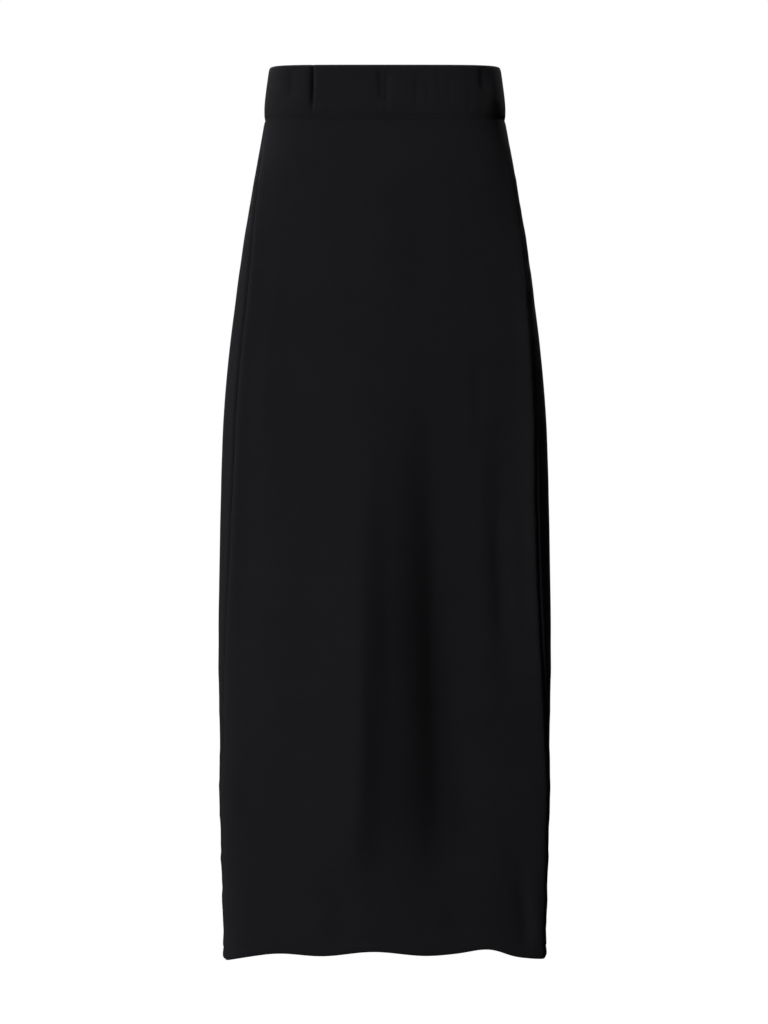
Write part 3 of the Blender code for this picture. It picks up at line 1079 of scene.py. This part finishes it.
def skirt_materials():
    """The skirt's materials by name, made once."""
    settings = bpy.context.scene.skirt_cloth
    if "knit_face" not in bpy.data.materials:
        group = knit_group()
        knit_material("knit_face", group, settings, settings.colour)
        knit_material("knit_back", group, settings, settings.colour, reverse=1.0)
        knit_material("band_face", group, settings, settings.band_colour)
        knit_material("band_back", group, settings, settings.band_colour, reverse=1.0)
        thread_material("sewing_thread", settings.thread_colour)
    return bpy.data.materials


# Operators


class SKIRT_OT_panels(bpy.types.Operator):
    """Makes the front and back panels with their seams, creases and rolled hem"""

    bl_idname = "skirt.add_panels"
    bl_label = "Add Panels"

    def execute(self, context):
        settings = context.scene.skirt_cloth
        materials = skirt_materials()
        for name, front in (("front_cloth", True), ("back_cloth", False)):
            face, reverse = materials["knit_face"], materials["knit_back"]
            piece, flat, area = make_panel(name, front, settings, face, reverse)
            if len(piece.data.polygons) == 0:
                raise RuntimeError(f"{name} has no faces")
        return {"FINISHED"}


class SKIRT_OT_waistband(bpy.types.Operator):
    """Makes the waistband's folded casing with the creases of its elastic"""

    bl_idname = "skirt.add_waistband"
    bl_label = "Add Waistband"

    def execute(self, context):
        settings = context.scene.skirt_cloth
        materials = skirt_materials()
        piece, flat, area = make_casing(settings, materials["band_face"], materials["band_back"])
        return {"FINISHED"}


class SKIRT_OT_sewing(bpy.types.Operator):
    """Makes the seam allowances inside the skirt with their overlock threads"""

    bl_idname = "skirt.add_sewing"
    bl_label = "Add Sewing"

    def execute(self, context):
        materials = skirt_materials()
        strips = (
            ("right_seam", side_strip(0.0, -1), False),
            ("left_seam", side_strip(math.pi, 1), False),
            ("waist_seam", waist_strip(), True),
        )
        for name, strip, closed in strips:
            make_allowance(f"{name}_allowance", strip, closed, materials["knit_back"])
            make_thread(f"{name}_overlock", strip, closed, OVERLOCK, materials["sewing_thread"])
            make_thread(f"{name}_needle_line", strip, closed, NEEDLE_LINE, materials["sewing_thread"])
        return {"FINISHED"}


class SKIRT_OT_stage(bpy.types.Operator):
    """Makes the pale floor, the soft studio light and the camera"""

    bl_idname = "skirt.add_stage"
    bl_label = "Add Stage"

    def execute(self, context):
        settings = context.scene.skirt_stage
        add_floor(settings)
        add_lights(settings)
        add_room(settings)
        add_camera(settings)
        context.scene.view_settings.view_transform = "Standard"
        return {"FINISHED"}


def add_floor(settings):
    bpy.ops.object.select_all(action="DESELECT")
    bpy.ops.mesh.primitive_plane_add(size=FLOOR_SIDE, location=(0, 0, PANEL_FOOT - settings.floor_gap))
    floor = bpy.context.object
    floor.name = "pale_floor"
    material = bpy.data.materials.new("pale_floor")
    material.use_nodes = True
    shader = material.node_tree.nodes["Principled BSDF"]
    shader.inputs["Base Color"].default_value = (0.9, 0.9, 0.9, 1)
    shader.inputs["Roughness"].default_value = 0.9
    shader.inputs["Emission Color"].default_value = (1, 1, 1, 1)
    shader.inputs["Emission Strength"].default_value = 1.0
    floor.data.materials.append(material)
    floor.visible_diffuse = False
    floor.visible_glossy = False


def add_lights(settings):
    """Large soft lights at the front left, beside the camera and overhead."""
    for soft in LIGHTS:
        light = bpy.data.lights.new(soft.name, "AREA")
        light.energy = getattr(settings, soft.name)
        light.shape = "RECTANGLE"
        light.size, light.size_y = soft.sides
        lamp = bpy.data.objects.new(soft.name, light)
        bpy.context.collection.objects.link(lamp)
        lamp.location = soft.place
        lamp.rotation_euler = (LIGHTS_AIM - Vector(soft.place)).to_track_quat("-Z", "Y").to_euler()


def add_room(settings):
    """White to the camera, and dim grey light on the skirt from all round."""
    world = bpy.data.worlds.new("room")
    bpy.context.scene.world = world
    world.use_nodes = True
    tree = world.node_tree
    tree.nodes.clear()
    seen = tree.nodes.new("ShaderNodeBackground")
    seen.inputs["Color"].default_value = (1, 1, 1, 1)
    lit = tree.nodes.new("ShaderNodeBackground")
    lit.inputs["Color"].default_value = (0.92, 0.96, 1.0, 1)
    lit.inputs["Strength"].default_value = settings.around
    path = tree.nodes.new("ShaderNodeLightPath")
    mix = tree.nodes.new("ShaderNodeMixShader")
    out = tree.nodes.new("ShaderNodeOutputWorld")
    tree.links.new(path.outputs["Is Camera Ray"], mix.inputs["Fac"])
    tree.links.new(lit.outputs[0], mix.inputs[1])
    tree.links.new(seen.outputs[0], mix.inputs[2])
    tree.links.new(mix.outputs[0], out.inputs["Surface"])


def add_camera(settings):
    """Stands in front, a little below the middle, and looks at the skirt's middle."""
    camera = bpy.data.cameras.new("camera")
    camera.sensor_width = 36.0
    camera.lens = camera.sensor_width * settings.distance / settings.view_height
    camera.clip_end = 200
    eye = bpy.data.objects.new("camera", camera)
    bpy.context.collection.objects.link(eye)
    eye.location = (VIEW_MIDDLE.x, -settings.distance, settings.height)
    eye.rotation_euler = (VIEW_MIDDLE - eye.location).to_track_quat("-Z", "Y").to_euler()
    bpy.context.scene.camera = eye


class VIEW3D_PT_skirt(bpy.types.Panel):
    """The skirt's tools and sizes in the 3D view's sidebar"""

    bl_label = "Knit Skirt"
    bl_idname = "VIEW3D_PT_skirt"
    bl_space_type = "VIEW_3D"
    bl_region_type = "UI"
    bl_category = "Skirt"

    def draw(self, context):
        for operator in OPERATORS:
            self.layout.operator(operator.bl_idname)
        for group in (context.scene.skirt_cloth, context.scene.skirt_stage):
            box = self.layout.box()
            for key in group.bl_rna.properties.keys():
                if key not in ("rna_type", "name"):
                    box.prop(group, key)


OPERATORS = (SKIRT_OT_panels, SKIRT_OT_waistband, SKIRT_OT_sewing, SKIRT_OT_stage)
CLASSES = (SkirtClothSettings, SkirtStageSettings, *OPERATORS, VIEW3D_PT_skirt)


def register():
    for each in CLASSES:
        bpy.utils.register_class(each)
    bpy.types.Scene.skirt_cloth = bpy.props.PointerProperty(type=SkirtClothSettings)
    bpy.types.Scene.skirt_stage = bpy.props.PointerProperty(type=SkirtStageSettings)


def unregister():
    del bpy.types.Scene.skirt_stage
    del bpy.types.Scene.skirt_cloth
    for each in reversed(CLASSES):
        bpy.utils.unregister_class(each)


def main():
    register()
    bpy.ops.skirt.add_stage()
    bpy.ops.skirt.add_panels()
    bpy.ops.skirt.add_waistband()
    bpy.ops.skirt.add_sewing()


if __name__ == "__main__":
    main()
